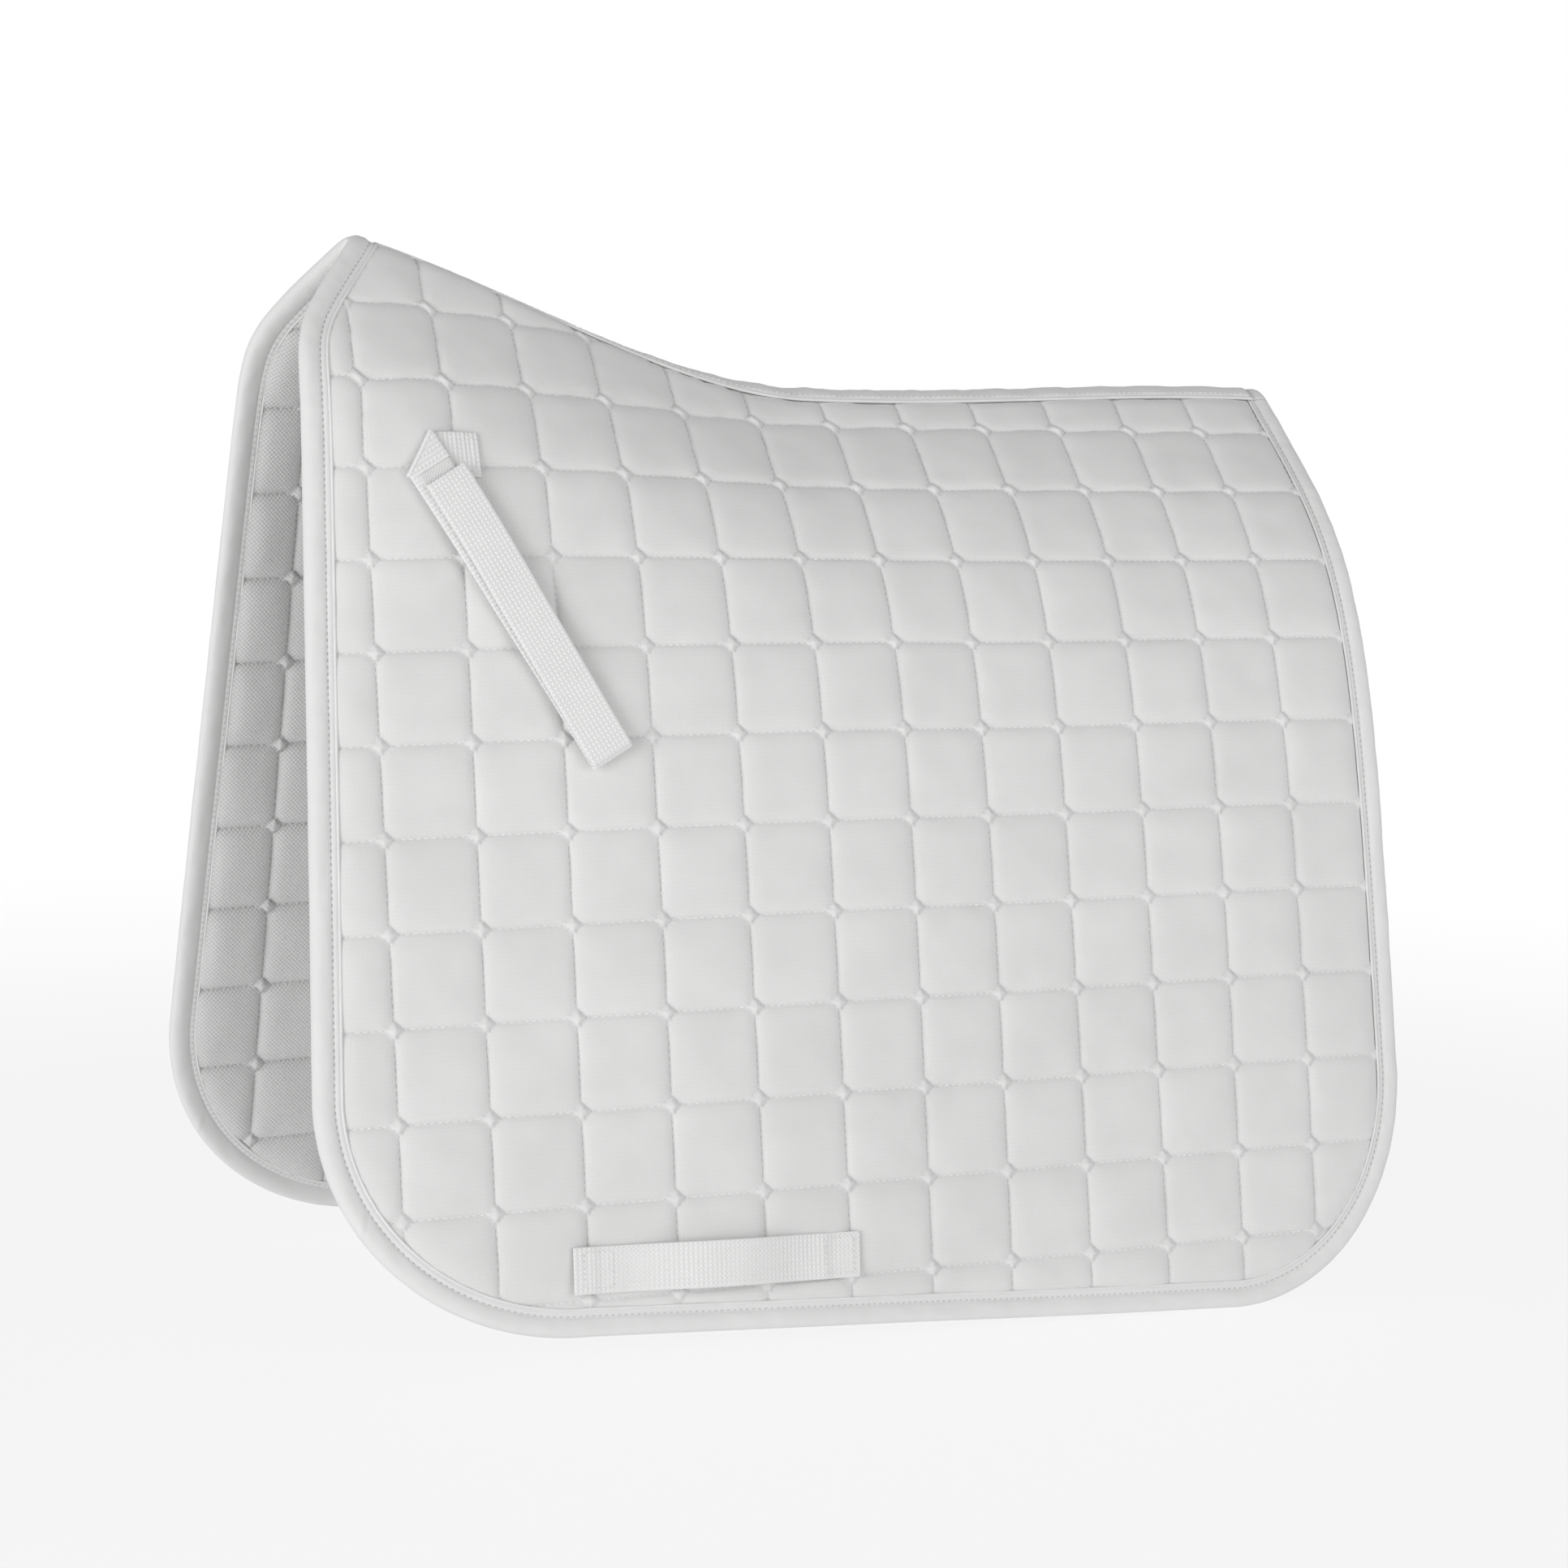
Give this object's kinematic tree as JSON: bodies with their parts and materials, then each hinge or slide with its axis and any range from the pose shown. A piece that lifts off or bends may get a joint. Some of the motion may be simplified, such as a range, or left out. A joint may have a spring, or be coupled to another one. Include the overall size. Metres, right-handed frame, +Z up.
{
  "type": "saddle pad",
  "caption": "Quilted white dressage saddle pad with bound edges, billet straps and girth loops, hanging open in a tent shape.",
  "frame": {"origin": "on the centre line, under the lowest point of the spine seam, where the horse's back carries the pad", "axes": "+X from the withers to the rear, +Y from the left flap to the right flap, +Z up"},
  "size_m": [0.6591, 0.4028, 0.5976],
  "materials": {
    "shell_cloth": "plain weave cotton",
    "lining_cloth": "fine twill",
    "wadding": "soft wadding",
    "binding_cloth": "knitted binding tape",
    "piping_cord": "covered cord",
    "webbing": "ribbed webbing",
    "hook_tape": "hook tape",
    "loop_tape": "napped loop tape",
    "thread": "spun thread"
  },
  "bodies": {
    "spine": {"spine_core": "wadding", "spine_tape": "binding_cloth", "spine_lining_tape": "binding_cloth", "left_spine_piping": "piping_cord", "right_spine_piping": "piping_cord", "spine_stitching": "thread", "left_upper_shell": "shell_cloth", "left_upper_wadding": "wadding", "left_upper_lining": "lining_cloth", "left_upper_binding": "binding_cloth", "left_upper_piping": "piping_cord", "left_upper_inner_piping": "piping_cord", "right_upper_shell": "shell_cloth", "right_upper_wadding": "wadding", "right_upper_lining": "lining_cloth", "right_upper_binding": "binding_cloth", "right_upper_piping": "piping_cord", "right_upper_inner_piping": "piping_cord"},
    "left_flap": {"left_shell": "shell_cloth", "left_wadding": "wadding", "left_lining": "lining_cloth", "left_binding": "binding_cloth", "left_piping": "piping_cord", "left_inner_piping": "piping_cord", "left_girth_loop": "webbing", "left_girth_loop_stitching": "thread", "left_strap_anchor": "webbing", "left_anchor_stitching": "thread"},
    "left_strap": {"left_strap": "webbing", "left_hook_patch": "hook_tape"},
    "left_strap_tail": {"left_strap_tail": "webbing", "left_loop_patch": "loop_tape"},
    "right_flap": {"right_shell": "shell_cloth", "right_wadding": "wadding", "right_lining": "lining_cloth", "right_binding": "binding_cloth", "right_piping": "piping_cord", "right_inner_piping": "piping_cord", "right_girth_loop": "webbing", "right_girth_loop_stitching": "thread", "right_strap_anchor": "webbing", "right_anchor_stitching": "thread"},
    "right_strap": {"right_strap": "webbing", "right_hook_patch": "hook_tape"},
    "right_strap_tail": {"right_strap_tail": "webbing", "right_loop_patch": "loop_tape"}
  },
  "joints": [
    {"name": "left_flap_fold", "type": "hinge", "parent": "spine", "child": "left_flap", "pos_m": [0, -0.056, -0.02], "axis": [-1, 0, 0], "range_deg": [-17, 48]},
    {"name": "left_strap_lift", "type": "hinge", "parent": "left_flap", "child": "left_strap", "pos_m": [-0.2714, -0.08094, -0.03689], "axis": [-0.4877, -0.2155, -0.846], "range_deg": [0, 100]},
    {"name": "left_tail_peel", "type": "hinge", "parent": "left_strap", "child": "left_strap_tail", "pos_m": [-0.17686, -0.13047, -0.19488], "axis": [0.8577, 0.0066, 0.5141], "range_deg": [0, 150]},
    {"name": "right_flap_fold", "type": "hinge", "parent": "spine", "child": "right_flap", "pos_m": [0, 0.056, -0.02], "axis": [1, 0, 0], "range_deg": [-17, 48]},
    {"name": "right_strap_lift", "type": "hinge", "parent": "right_flap", "child": "right_strap", "pos_m": [-0.2714, 0.08094, -0.03689], "axis": [0.4877, -0.2155, 0.846], "range_deg": [0, 100]},
    {"name": "right_tail_peel", "type": "hinge", "parent": "right_strap", "child": "right_strap_tail", "pos_m": [-0.17686, 0.13047, -0.19488], "axis": [-0.8577, 0.0066, -0.5141], "range_deg": [0, 150]}
  ]
}
